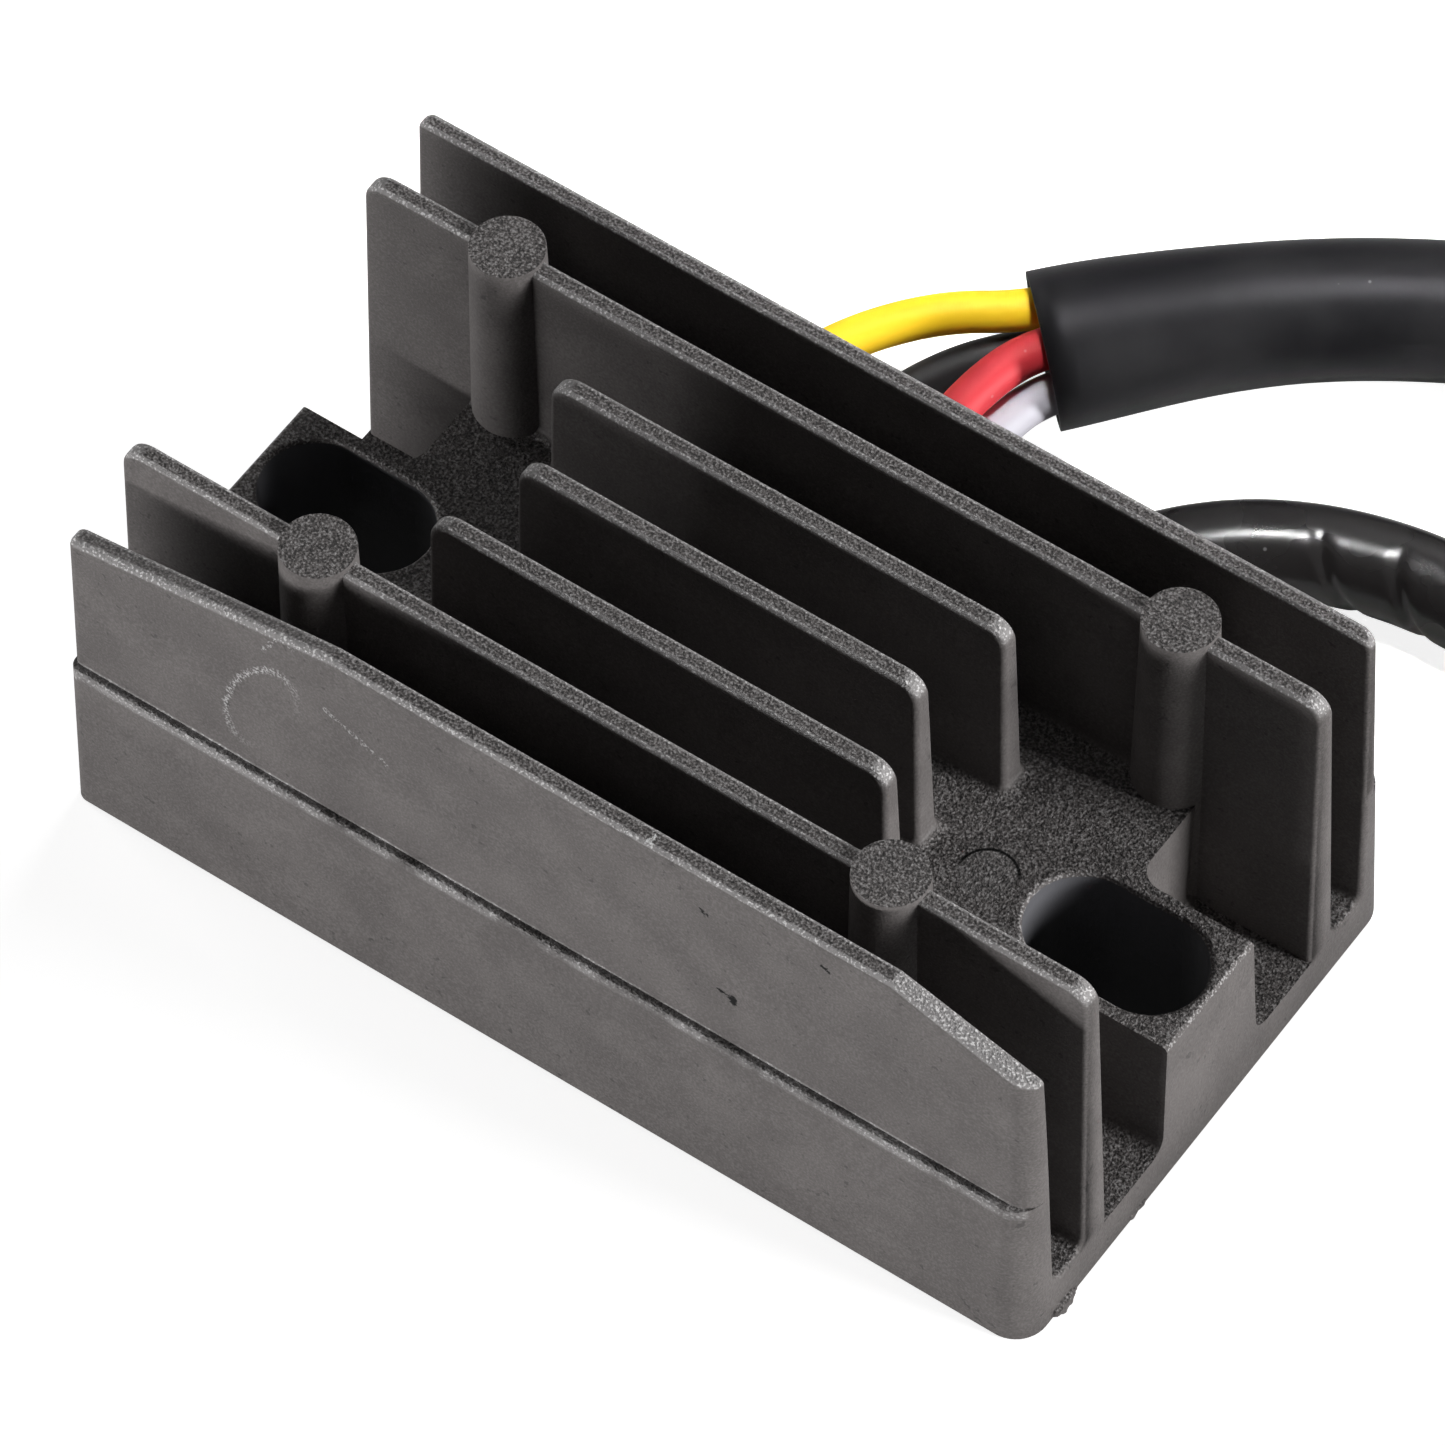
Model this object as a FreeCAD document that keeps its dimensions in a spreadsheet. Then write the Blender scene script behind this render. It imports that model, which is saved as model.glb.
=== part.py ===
import FreeCAD, Part
import math
import os
import Sketcher

# A finned voltage regulator and rectifier: a die-cast heat sink, potted from below, with two short
# looms that leave through its back wall. The origin is at the centre of the mounting face, +X runs
# along the fins, +Y points to the wall that the wires leave, and +Z is up. Millimetres and degrees.

V = FreeCAD.Vector
doc = FreeCAD.newDocument("VoltageRegulatorRectifier")

# Driving dimensions
DRIVING = (
    ("base_length", 70.6),
    ("fin_top", 28.7),
    ("block_height", 13.4),
    ("floor_height", 3.4),
    ("draft", 1.25),
    ("fin_tip", 1.35),
    ("outer_fin_y", 17.72),
    ("second_fin_y", 12.2),
    ("third_fin_y", 6.15),
    ("third_fin_inset", 18.86),
    ("middle_fin_inset", 20.87),
    ("fin_corner", 1.6),
    ("tip_edge", 0.4),
    ("root_fillet", 0.8),
    ("channel_fillet", 0.9),
    ("floor_fillet", 1.3),
    ("left_slope_length", 20.0),
    ("left_slope_drop", 3.2),
    ("right_slope_length", 10.6),
    ("right_slope_drop", 3.4),
    ("left_corner", 0.6),
    ("right_corner", 1.6),
    ("skirt_step", 0.62),
    ("left_skirt_corner", 0.9),
    ("right_skirt_corner", 2.2),
    ("ledge_edge", 0.35),
    ("slot_inset", 7.0),
    ("slot_length", 12.0),
    ("slot_width", 7.2),
    ("slot_rim", 0.35),
    ("pad_length", 8.6),
    ("pad_width", 9.2),
    ("pad_draft", 2.5),
    ("pad_corner", 0.6),
    ("pocket_corner", 1.5),
    ("post_radius", 2.38),
    ("post_rise", 0.35),
    ("back_post_inset", 10.95),
    ("front_post_inset", 14.75),
    ("cavity_wall", 2.3),
    ("cavity_width", 18.8),
    ("roof_thickness", 3.0),
    ("outlet_share", 0.15),
    ("outlet_height", 7.6),
    ("outlet_cover", 2.4),
    ("resin_recess", 0.6),
    ("substrate_gap", 1.5),
    ("substrate_width", 16.0),
    ("substrate_thickness", 1.0),
    ("die_size", 4.4),
    ("die_thickness", 0.5),
    ("die_row_y", 3.6),
    ("board_width", 10.0),
    ("board_thickness", 1.0),
    ("board_bottom", 3.9),
    ("board_y", 3.6),
    ("lug_width", 2.2),
    ("lug_thickness", 0.8),
    ("lug_riser_y", 6.6),
    ("lug_end_y", 13.5),
    ("wire_diameter", 2.7),
    ("wire_height", 4.1),
    ("sleeve_diameter", 9.4),
    ("sleeve_bore", 8.4),
    ("sleeve_bore_depth", 6.0),
    ("tube_diameter", 6.2),
    ("tube_bore", 5.7),
    ("tube_bore_depth", 5.0),
    ("main_plug_length", 23.0),
    ("main_plug_width", 15.0),
    ("main_plug_height", 13.6),
    ("small_plug_length", 20.0),
    ("small_plug_width", 12.6),
    ("small_plug_height", 8.0),
    ("cavity_pitch_y", 5.8),
    ("cavity_pitch_z", 5.4),
    ("terminal_width", 3.4),
    ("terminal_height", 2.4),
    ("terminal_length", 11.0),
    ("terminal_wall", 0.35),
    ("wire_seat_depth", 8.0),
    ("latch_width", 4.6),
    ("latch_length", 13.0),
    ("latch_thickness", 1.1),
    ("latch_gap", 0.9),
    ("chip_width", 5.0),
    ("chip_height", 1.5),
    ("capacitor_diameter", 4.0),
    ("capacitor_height", 3.2),
    ("resistor_length", 3.2),
    ("resistor_height", 0.6),
    ("pin_width", 0.8),
    ("pin_y", 0.4),
    ("yellow_share", 0.4125),
    ("black_share", 0.2625),
    ("white_share", 0.045),
    ("tube_share", 0.2125),
    ("wire_pitch", 3.4),
    ("wire_pair", 2.84),
    ("straight_y", 20.8),
    ("main_turn", 20.0),
    ("small_turn", 8.0),
    ("latch_set_back", 2.0),
    ("mouth_fit", 0.2),
)
dims = doc.addObject("Spreadsheet::Sheet", "dims")
for row, (alias, number) in enumerate(DRIVING, start=1):
    dims.set(f"A{row}", alias)
    dims.set(f"B{row}", str(number))
    dims.setAlias(f"B{row}", alias)
doc.recompute()


def size(expression):
    """The value of a sheet expression as a plain number."""
    return float(probe.evalExpression(expression))


probe = doc.addObject("App::FeaturePython", "probe")

BODY_HALF_WIDTH = "(dims.outer_fin_y + dims.fin_tip / 2 + dims.fin_top * tan(dims.draft))"
PAST_THE_END = "(dims.base_length / 2 + 3)"
POCKET_WALL = "(dims.base_length / 2 - dims.pad_length)"
SLOT_X = "(dims.base_length / 2 - dims.slot_inset)"
CAVITY_LENGTH = f"(2 * ({SLOT_X} - dims.slot_length / 2 - dims.cavity_wall))"
OUTLET_LEFT = f"({CAVITY_LENGTH} / 2)"
OUTLET_RIGHT = f"({CAVITY_LENGTH} * (0.5 - dims.outlet_share))"


def half_fin(height):
    """Half a fin's thickness at a height, as a sheet expression."""
    return f"(dims.fin_tip / 2 + (dims.fin_top - {height}) * tan(dims.draft))"


def origin_plane(body, role):
    """One of a body's own origin planes."""
    return next(f for f in body.Origin.OriginFeatures if f.Role == role)


def new_sketch(body, name, offset, role="XY_Plane"):
    """An empty sketch on an origin plane, lifted off it by a sheet expression."""
    sketch = body.newObject("Sketcher::SketchObject", name)
    sketch.AttachmentSupport = [(origin_plane(body, role), "")]
    sketch.MapMode = "FlatFace"
    sketch.setExpression("AttachmentOffset.Base.z", offset)
    return sketch


def add_polygon(sketch, corners):
    """A closed outline whose corners are pairs of sheet expressions."""
    first = sketch.GeometryCount
    places = [V(size(x), size(y), 0) for x, y in corners]
    count = len(corners)
    for i in range(count):
        sketch.addGeometry(Part.LineSegment(places[i], places[(i + 1) % count]), False)
    for i in range(count):
        here, after = first + i, first + (i + 1) % count
        sketch.addConstraint(Sketcher.Constraint("Coincident", here, 2, after, 1))
    for i, (x, y) in enumerate(corners):
        for axis, expression in (("X", x), ("Y", y)):
            place = size(expression)
            rule = Sketcher.Constraint(f"Distance{axis}", -1, 1, first + i, 1, place)
            name = f"corner{first + i}{axis}"
            sketch.renameConstraint(sketch.addConstraint(rule), name)
            sketch.setExpression(f"Constraints.{name}", expression)


def rectangle(body, name, offset, left, right, low, high, role="XY_Plane"):
    """A sketch of one rectangle between four sheet expressions."""
    sketch = new_sketch(body, name, offset, role)
    add_polygon(sketch, ((left, low), (right, low), (right, high), (left, high)))
    return sketch


def add_slot(sketch, x, y, length, width):
    """A slot along X with round ends, as two lines and two half circles."""
    half, radius = size(f"({length} - {width}) / 2"), size(f"{width} / 2")
    middle_x, middle_y = size(x), size(y)
    right, left = V(middle_x + half, middle_y, 0), V(middle_x - half, middle_y, 0)
    top, up = V(0, radius, 0), V(0, 0, 1)
    first = sketch.GeometryCount
    quarter = math.pi / 2
    sketch.addGeometry(Part.LineSegment(left - top, right - top), False)
    sketch.addGeometry(Part.ArcOfCircle(Part.Circle(right, up, radius), -quarter, quarter), False)
    sketch.addGeometry(Part.LineSegment(right + top, left + top), False)
    sketch.addGeometry(Part.ArcOfCircle(Part.Circle(left, up, radius), quarter, 3 * quarter), False)
    joints = ((first, 2, first + 1, 1), (first + 1, 2, first + 2, 1))
    joints += ((first + 2, 2, first + 3, 1), (first + 3, 2, first, 1))
    for joint in joints:
        sketch.addConstraint(Sketcher.Constraint("Tangent", *joint))
    sketch.addConstraint(Sketcher.Constraint("Horizontal", first))
    rules = (
        ("width", Sketcher.Constraint("Radius", first + 1, radius), f"{width} / 2"),
        ("right", Sketcher.Constraint("DistanceX", -1, 1, first + 1, 3, right.x),
         f"{x} + ({length} - {width}) / 2"),
        ("left", Sketcher.Constraint("DistanceX", -1, 1, first + 3, 3, left.x),
         f"{x} - ({length} - {width}) / 2"),
        ("level", Sketcher.Constraint("DistanceY", -1, 1, first + 1, 3, middle_y), y),
    )
    for word, rule, expression in rules:
        name = f"{word}{first}"
        sketch.renameConstraint(sketch.addConstraint(rule), name)
        sketch.setExpression(f"Constraints.{name}", expression)


def extrude(body, kind, name, sketch, length, reverse=False):
    """A pad or a pocket that has to change the solid's volume the right way."""
    before = body.Shape.Volume if body.Tip else 0.0
    feature = body.newObject(f"PartDesign::{kind}", name)
    feature.Profile = sketch
    feature.Reversed = reverse
    feature.setExpression("Length", length)
    doc.recompute()
    change = body.Shape.Volume - before
    if change * (1 if kind == "Pad" else -1) <= 0:
        raise ValueError(f"{body.Name} {name} changed the volume by {change:.2f}")
    return feature


def is_concave(shape, edge, middle):
    """Whether the solid fills the outside of an edge, as at the root of a fin."""
    faces = shape.ancestorsOfType(edge, Part.Face)
    if len(faces) != 2:
        return False
    one, two = (f.normalAt(*f.Surface.parameter(middle)) for f in faces)
    return shape.isInside(middle + (one - two) * 0.02, 1e-4, True)


def round_edges(body, name, radius, wanted):
    """A fillet on every edge that the test picks by its middle, its box and its concavity."""
    base = body.Tip
    shape = base.Shape
    picked = []
    for number, edge in enumerate(shape.Edges, start=1):
        span = edge.LastParameter + edge.FirstParameter
        middle = edge.valueAt(span / 2)
        if wanted(edge, middle, edge.BoundBox) and not edge.Closed:
            picked.append((f"Edge{number}", edge, middle))
    names = [edge_name for edge_name, _, _ in picked]
    fillet = body.newObject("PartDesign::Fillet", name)
    fillet.Base = (base, names)
    fillet.setExpression("Radius", radius)
    doc.recompute()
    return fillet


def prism(body, kind, name, start, length, corners, role="YZ_Plane", reverse=False):
    """A pad or pocket of a polygon, along X from a start unless another plane is named."""
    outline = new_sketch(body, f"{name}_outline", start, role)
    add_polygon(outline, corners)
    return extrude(body, kind, name, outline, length, reverse=reverse)


def primitive(body, kind, name, sizes, place):
    """An additive primitive with bound sizes and a bound place."""
    before = body.Shape.Volume if body.Tip else 0.0
    feature = body.newObject(f"PartDesign::{kind}", name)
    for word, expression in sizes:
        feature.setExpression(word, expression)
    for axis, expression in zip("xyz", place):
        feature.setExpression(f"Placement.Base.{axis}", expression)
    doc.recompute()
    if kind.startswith("Additive") != (body.Shape.Volume > before):
        raise ValueError(f"{body.Name} {name} changed the volume the wrong way")
    return feature


def frustum(body, kind, name, low, high, bottom, top, y="0"):
    """A drafted block between two heights, from half its length and width at each of them."""
    sizes = [("Ymin", "0"), ("Ymax", f"{high} - {low}")]
    for axis, wide, narrow in (("X", bottom[0], top[0]), ("Z", bottom[1], top[1])):
        for way, end in (("-", "min"), ("", "max")):
            sizes += [(f"{axis}{end}", f"{way}({wide})"), (f"{axis}2{end}", f"{way}({narrow})")]
    feature = primitive(body, kind, name, sizes, ("0", y, low))
    feature.Placement.Rotation = FreeCAD.Rotation(V(1, 0, 0), 90)
    doc.recompute()


def upright(box):
    """Whether an edge climbs more than it runs."""
    return box.ZLength > 2 * max(box.XLength, box.YLength)


def at_height(box, height):
    """Whether an edge lies flat at a height."""
    return abs(box.ZMin - height) < 0.05 and abs(box.ZMax - height) < 0.05


# The heat sink: one die casting. It starts as a drafted block up to the parting ledge, with a
# narrower drafted block on it, and the channels between the long fins are sunk into both.
heat_sink = doc.addObject("PartDesign::Body", "heat_sink")
TOP, BLOCK, FLOOR = "dims.fin_top", "dims.block_height", "dims.floor_height"
TIP = "dims.fin_tip / 2"
SKIRT_HALF_WIDTH = f"({BODY_HALF_WIDTH} + dims.skirt_step)"
top, block_top, floor_top = size(TOP), size(BLOCK), size(FLOOR)
half_length = size("dims.base_length / 2")


def narrowed(half, height):
    """Half a width after the draft up to a height."""
    return f"({half} - {height} * tan(dims.draft))"


def left_upright(edge, middle, box):
    """The upright edges at the left end."""
    return upright(box) and middle.x < 0


def right_upright(edge, middle, box):
    """The upright edges at the right end."""
    return upright(box) and middle.x > 0


def skirt_ledge(edge, middle, box):
    """The outer edge of each parting ledge."""
    return at_height(box, block_top) and box.XLength > half_length


HALF_LENGTH = "dims.base_length / 2"
lower_block, upper_block = (doc.addObject("PartDesign::Body", f"{word}_block")
                            for word in ("lower", "upper"))
for body, low, high, half_width in ((heat_sink, "0", BLOCK, SKIRT_HALF_WIDTH),
                                    (lower_block, "0", BLOCK, SKIRT_HALF_WIDTH),
                                    (upper_block, BLOCK, TOP, BODY_HALF_WIDTH)):
    frustum(body, "AdditiveWedge", f"{body.Name}_wedge", low, high,
            (narrowed(HALF_LENGTH, low), narrowed(half_width, low)),
            (narrowed(HALF_LENGTH, high), narrowed(half_width, high)))
round_edges(heat_sink, "ledge_edges", "dims.ledge_edge", skirt_ledge)
for end, test in (("left", left_upright), ("right", right_upright)):
    round_edges(lower_block, f"lower_{end}_corners", f"dims.{end}_skirt_corner", test)
    round_edges(upper_block, f"upper_{end}_corners", f"dims.{end}_corner", test)
for name, kind, other in (("rounded_skirt", "Common", lower_block),
                          ("whole_block", "Fuse", upper_block)):
    joined = heat_sink.newObject("PartDesign::Boolean", name)
    joined.Type = kind
    joined.setObjects([other])
doc.recompute()

# The channels between the long fins and the wide space over the block between them
ABOVE = f"({TOP} + 1)"
for side, sign in (("front", "-"), ("back", "")):
    channel = ((f"{sign}(dims.outer_fin_y - {half_fin(FLOOR)})", FLOOR),
               (f"{sign}(dims.second_fin_y + {half_fin(FLOOR)})", FLOOR),
               (f"{sign}(dims.second_fin_y + {half_fin(ABOVE)})", ABOVE),
               (f"{sign}(dims.outer_fin_y - {half_fin(ABOVE)})", ABOVE))
    prism(heat_sink, "Pocket", f"{side}_channel", PAST_THE_END, f"2 * {PAST_THE_END}", channel)
middle_space = ((f"-(dims.second_fin_y - {half_fin(BLOCK)})", BLOCK),
                (f"dims.second_fin_y - {half_fin(BLOCK)}", BLOCK),
                (f"dims.second_fin_y - {half_fin(ABOVE)}", ABOVE),
                (f"-(dims.second_fin_y - {half_fin(ABOVE)})", ABOVE))
prism(heat_sink, "Pocket", "middle_space", PAST_THE_END, f"2 * {PAST_THE_END}", middle_space)


def channel_root(edge, middle, box):
    """Both long sides of each channel's floor."""
    return at_height(box, floor_top) and box.XLength > half_length


def long_root(edge, middle, box):
    """Where the block meets the second and sixth fins."""
    inside = abs(middle.y) < size("dims.second_fin_y")
    return inside and at_height(box, block_top) and box.XLength > half_length


round_edges(heat_sink, "channel_roots", "dims.channel_fillet", channel_root)
round_edges(heat_sink, "long_roots", "dims.root_fillet", long_root)

# The open pockets beside each mounting pad, down to the channels' floor
for side, sign in (("front", "-"), ("back", "")):
    pocket = (
        (f"{sign}(dims.pad_width / 2)", ABOVE),
        (f"{sign}(dims.pad_width / 2)", BLOCK),
        (f"{sign}(dims.pad_width / 2 + ({BLOCK} - {FLOOR}) * tan(dims.pad_draft))", FLOOR),
        (f"{sign}(dims.second_fin_y - {half_fin(FLOOR)})", FLOOR),
        (f"{sign}(dims.second_fin_y - {half_fin(ABOVE)})", ABOVE),
    )
    for end, start, reverse in (("left", f"-{PAST_THE_END}", True), ("right", PAST_THE_END, False)):
        prism(heat_sink, "Pocket", f"{side}_{end}_pocket", start,
              f"{PAST_THE_END} - {POCKET_WALL}", pocket, reverse=reverse)

# Three short fins on the block between the pads
for name, y, inset in (("fin_3", "-dims.third_fin_y", "dims.third_fin_inset"),
                       ("fin_4", "0", "dims.middle_fin_inset"),
                       ("fin_5", "dims.third_fin_y", "dims.third_fin_inset")):
    half = f"({HALF_LENGTH} - {inset})"
    root = f"({half} + ({TOP} - {BLOCK}) * tan(dims.draft))"
    frustum(heat_sink, "AdditiveWedge", name, BLOCK, TOP, (root, half_fin(BLOCK)), (half, TIP), y)

# Sloping ends of the first fin's top, cut by wedges that stop short of the second fin
for end, sign in (("left", "-"), ("right", "")):
    start = f"({HALF_LENGTH} - dims.{end}_slope_length)"
    slope = ((f"{sign}{start}", TOP), (f"{sign}{HALF_LENGTH}", f"{TOP} - dims.{end}_slope_drop"),
             (f"{sign}{HALF_LENGTH}", ABOVE), (f"{sign}{start}", ABOVE))
    prism(heat_sink, "Pocket", f"{end}_slope", "dims.outer_fin_y - 3", "6", slope, "XZ_Plane", True)


def top_end(edge, middle, box):
    """The short edge across each end of the top of each inner fin."""
    across = box.YLength > 0.8 * size("dims.fin_tip") and box.XLength + box.ZLength < 0.1
    inner = abs(middle.y) < size("dims.outer_fin_y") - 1
    return across and inner and edge.Length < 3 and middle.z > top - 1


def outer_top_end(edge, middle, box):
    """What is left of the edge across each end of the two outer fins."""
    across = box.YLength > 0.2 and box.XLength + box.ZLength < 0.1
    outer = abs(middle.y) > size("dims.outer_fin_y") - 1
    far = abs(middle.x) > half_length - 2
    return across and outer and far and edge.Length < 3 and middle.z > top - 4


def blunt_end(middle):
    """The right ends of the outer fins, which are round already."""
    return middle.x > half_length - 2 and abs(middle.y) > size("dims.outer_fin_y") - 2


def fin_outline(edge, middle, box):
    """The long top edges and the upright end edges of the fins."""
    if middle.z < block_top + 0.1 or edge.Length > 5 and blunt_end(middle):
        return False
    return box.XLength > 5 and middle.z > top - 3 or upright(box)


for name, radius, test in (("outer_fin_corners", "dims.left_corner", outer_top_end),
                           ("fin_corners", "dims.fin_corner", top_end),
                           ("fin_edges", "dims.tip_edge", fin_outline)):
    round_edges(heat_sink, name, radius, test)

# Round posts through the second and sixth fins, a little prouder than the fins
POST_TOP = "(dims.fin_top + dims.post_rise)"
for name, y in (("front", "-dims.second_fin_y"), ("back", "dims.second_fin_y")):
    for end, sign in (("left", "-"), ("right", "")):
        x = f"({HALF_LENGTH} - dims.{name}_post_inset)"
        height = f"({POST_TOP} - {FLOOR})"
        sizes = (("Radius1", f"dims.post_radius + {height} * tan(dims.draft)"),
                 ("Radius2", "dims.post_radius"), ("Height", height))
        primitive(heat_sink, "AdditiveCone", f"{name}_{end}_post", sizes, (f"{sign}{x}", y, FLOOR))

# A raised floor between the last two fins, over the wire outlet
COVER_TOP = "(dims.outlet_height + dims.outlet_cover)"
cover = (("dims.second_fin_y", FLOOR), ("dims.outer_fin_y", FLOOR),
         ("dims.outer_fin_y", COVER_TOP), ("dims.second_fin_y", COVER_TOP))
prism(heat_sink, "Pad", "outlet_cover_pad", f"-{OUTLET_LEFT} - dims.outlet_cover",
      f"{OUTLET_LEFT} + {OUTLET_RIGHT} + 2 * dims.outlet_cover", cover)


def pocket_corner(edge, middle, box):
    """The upright corner between each pad and the block."""
    near = abs(abs(middle.x) - size(POCKET_WALL)) < 0.1 and abs(middle.y) < 6
    return near and upright(box) and middle.z < block_top


def fin_root(edge, middle, box):
    """Where the fins and posts stand on the block."""
    if not at_height(box, block_top) or abs(middle.y) > size("dims.third_fin_y") + 2:
        return False
    return is_concave(heat_sink.Tip.Shape, edge, middle)


def floor_root(edge, middle, box):
    """Where the walls stand on the low floors."""
    near = abs(middle.x) > size(POCKET_WALL) - 0.1 and abs(middle.y) < 9
    return near and at_height(box, floor_top) and is_concave(heat_sink.Tip.Shape, edge, middle)


for name, radius, test in (("pocket_corners", "dims.pocket_corner", pocket_corner),
                           ("fin_roots", "dims.root_fillet", fin_root),
                           ("floor_roots", "dims.floor_fillet", floor_root)):
    round_edges(heat_sink, name, radius, test)

# Two mounting slots through the pads
slots = new_sketch(heat_sink, "slot_outline", BLOCK)
for way in ("-", ""):
    add_slot(slots, f"{way}{SLOT_X}", "0", "dims.slot_length", "dims.slot_width")
extrude(heat_sink, "Pocket", "mounting_slots", slots, BLOCK)


def slot_rim(edge, middle, box):
    """The upper rim of each slot, and the pad's upper edge at the end beside it."""
    near = abs(middle.x) > size(SLOT_X) - size("dims.slot_length") / 2 - 0.1
    return near and abs(middle.y) < size("dims.slot_width") / 2 + 0.1 and at_height(box, block_top)


round_edges(heat_sink, "slot_rims", "dims.slot_rim", slot_rim)

# The drafted cavity for the circuit, open at the mounting face
CAVITY_DEPTH = f"({BLOCK} - dims.roof_thickness)"
half_cavity = (f"{CAVITY_LENGTH} / 2", "dims.cavity_width / 2")
frustum(heat_sink, "SubtractiveWedge", "cavity", "0", CAVITY_DEPTH, half_cavity,
        tuple(narrowed(half, CAVITY_DEPTH) for half in half_cavity))

# The outlet through the back wall that the wires leave by
outlet = rectangle(heat_sink, "outlet_outline", "0", f"-{OUTLET_LEFT}", OUTLET_RIGHT,
                   "dims.cavity_width / 2 - 1", f"{SKIRT_HALF_WIDTH} + 1")
extrude(heat_sink, "Pocket", "outlet", outlet, "dims.outlet_height", reverse=True)


def solid(kind, name, sizes, place=("0", "0", "0"), angle=0.0):
    """A primitive with bound sizes at a bound place."""
    thing = doc.addObject(f"Part::{kind}", name)
    thing.Placement.Rotation = FreeCAD.Rotation(V(0, 1, 0), angle)
    for word, expression in sizes:
        thing.setExpression(word, expression)
    for axis, expression in zip("xyz", place):
        thing.setExpression(f"Placement.Base.{axis}", expression)
    return thing


def block(name, length, width, height, place):
    """A box between bound corners."""
    return solid("Box", name, (("Length", length), ("Width", width), ("Height", height)), place)


pieces = [heat_sink]

# The ceramic substrate that carries the power dies, bonded to the cavity's roof
SUBSTRATE_BOTTOM = f"({CAVITY_DEPTH} - dims.substrate_thickness)"
SUBSTRATE_LENGTH = f"({CAVITY_LENGTH} - 2 * dims.substrate_gap)"
pieces.append(block("substrate", SUBSTRATE_LENGTH, "dims.substrate_width",
                    "dims.substrate_thickness",
                    (f"-{SUBSTRATE_LENGTH} / 2", "-dims.substrate_width / 2", SUBSTRATE_BOTTOM)))

# Six dies soldered to the substrate in two rows
DIE_PITCH = f"({SUBSTRATE_LENGTH} * 0.3)"
for number in range(6):
    column, row = number % 3 - 1, number // 3 * 2 - 1
    place = (f"{column} * {DIE_PITCH} - dims.die_size / 2",
             f"{row} * dims.die_row_y - dims.die_size / 2",
             f"{SUBSTRATE_BOTTOM} - dims.die_thickness")
    pieces.append(block(f"die_{number + 1}", "dims.die_size", "dims.die_size",
                        "dims.die_thickness", place))

# The control board with its parts, hung from the substrate on two pins
BOARD_TOP = "(dims.board_bottom + dims.board_thickness)"
BOARD_LENGTH = f"({CAVITY_LENGTH} * 0.65)"
CHIP_LENGTH = f"({BOARD_LENGTH} * 0.23)"
SIDE_PART_X = f"({BOARD_LENGTH} / 2 - dims.resistor_length)"
pieces.append(block("control_board", BOARD_LENGTH, "dims.board_width", "dims.board_thickness",
                    (f"-{BOARD_LENGTH} / 2", "-dims.board_y - dims.board_width / 2",
                     "dims.board_bottom")))
pieces.append(block("regulator_chip", CHIP_LENGTH, "dims.chip_width", "dims.chip_height",
                    (f"-{CHIP_LENGTH} / 2", "-dims.board_y - dims.chip_width / 2", BOARD_TOP)))
pieces.append(solid("Cylinder", "capacitor",
                    (("Radius", "dims.capacitor_diameter / 2"), ("Height", "dims.capacitor_height")),
                    (SIDE_PART_X, "-dims.board_y", BOARD_TOP)))
for number, way in ((1, "-"), (2, "+")):
    pieces.append(block(f"resistor_{number}", "dims.resistor_length", "dims.resistor_length / 2",
                        "dims.resistor_height",
                        (f"-{SIDE_PART_X} - dims.resistor_length / 2",
                         f"-dims.board_y {way} dims.resistor_length / 2 - dims.resistor_length / 4",
                         BOARD_TOP)))
for number, way in ((1, "-"), (2, "")):
    pieces.append(block(f"board_pin_{number}", "dims.pin_width", "dims.pin_width",
                        f"{SUBSTRATE_BOTTOM} - {BOARD_TOP}",
                        (f"{way}{DIE_PITCH} / 2 - dims.pin_width / 2",
                         "-dims.pin_y - dims.pin_width / 2", BOARD_TOP)))

# Bent copper lugs from the substrate to the ends of the wires
STRIP_BOTTOM = "(dims.wire_height - dims.lug_thickness / 2)"
STRIP_TOP = "(dims.wire_height + dims.lug_thickness / 2)"
lug_profile = (
    ("dims.lug_riser_y", STRIP_BOTTOM),
    ("dims.lug_end_y", STRIP_BOTTOM),
    ("dims.lug_end_y", STRIP_TOP),
    ("dims.lug_riser_y + dims.lug_thickness", STRIP_TOP),
    ("dims.lug_riser_y + dims.lug_thickness", SUBSTRATE_BOTTOM),
    ("dims.lug_riser_y", SUBSTRATE_BOTTOM),
)
YELLOW_X, BLACK_X = (f"(-{CAVITY_LENGTH} * dims.{colour}_share)" for colour in ("yellow", "black"))
WHITE_X = f"(-{CAVITY_LENGTH} * dims.white_share)"
RED_X = f"({WHITE_X} - dims.wire_pitch)"
TUBE_X = f"({CAVITY_LENGTH} * dims.tube_share)"
LUG_PLACES = (YELLOW_X, BLACK_X, RED_X, WHITE_X,
              f"{TUBE_X} - dims.wire_pair / 2", f"{TUBE_X} + dims.wire_pair / 2")
for number, x in enumerate(LUG_PLACES, start=1):
    lug = doc.addObject("PartDesign::Body", f"lug_{number}")
    prism(lug, "Pad", f"lug_{number}_strip", f"{x} - dims.lug_width / 2", "dims.lug_width",
          lug_profile)
    pieces.append(lug)

# The resin is later cut by all of these and by the cords that pass through it
buried = list(pieces)


def unit(vector):
    """A vector of length one."""
    return vector * (1 / vector.Length)


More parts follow.
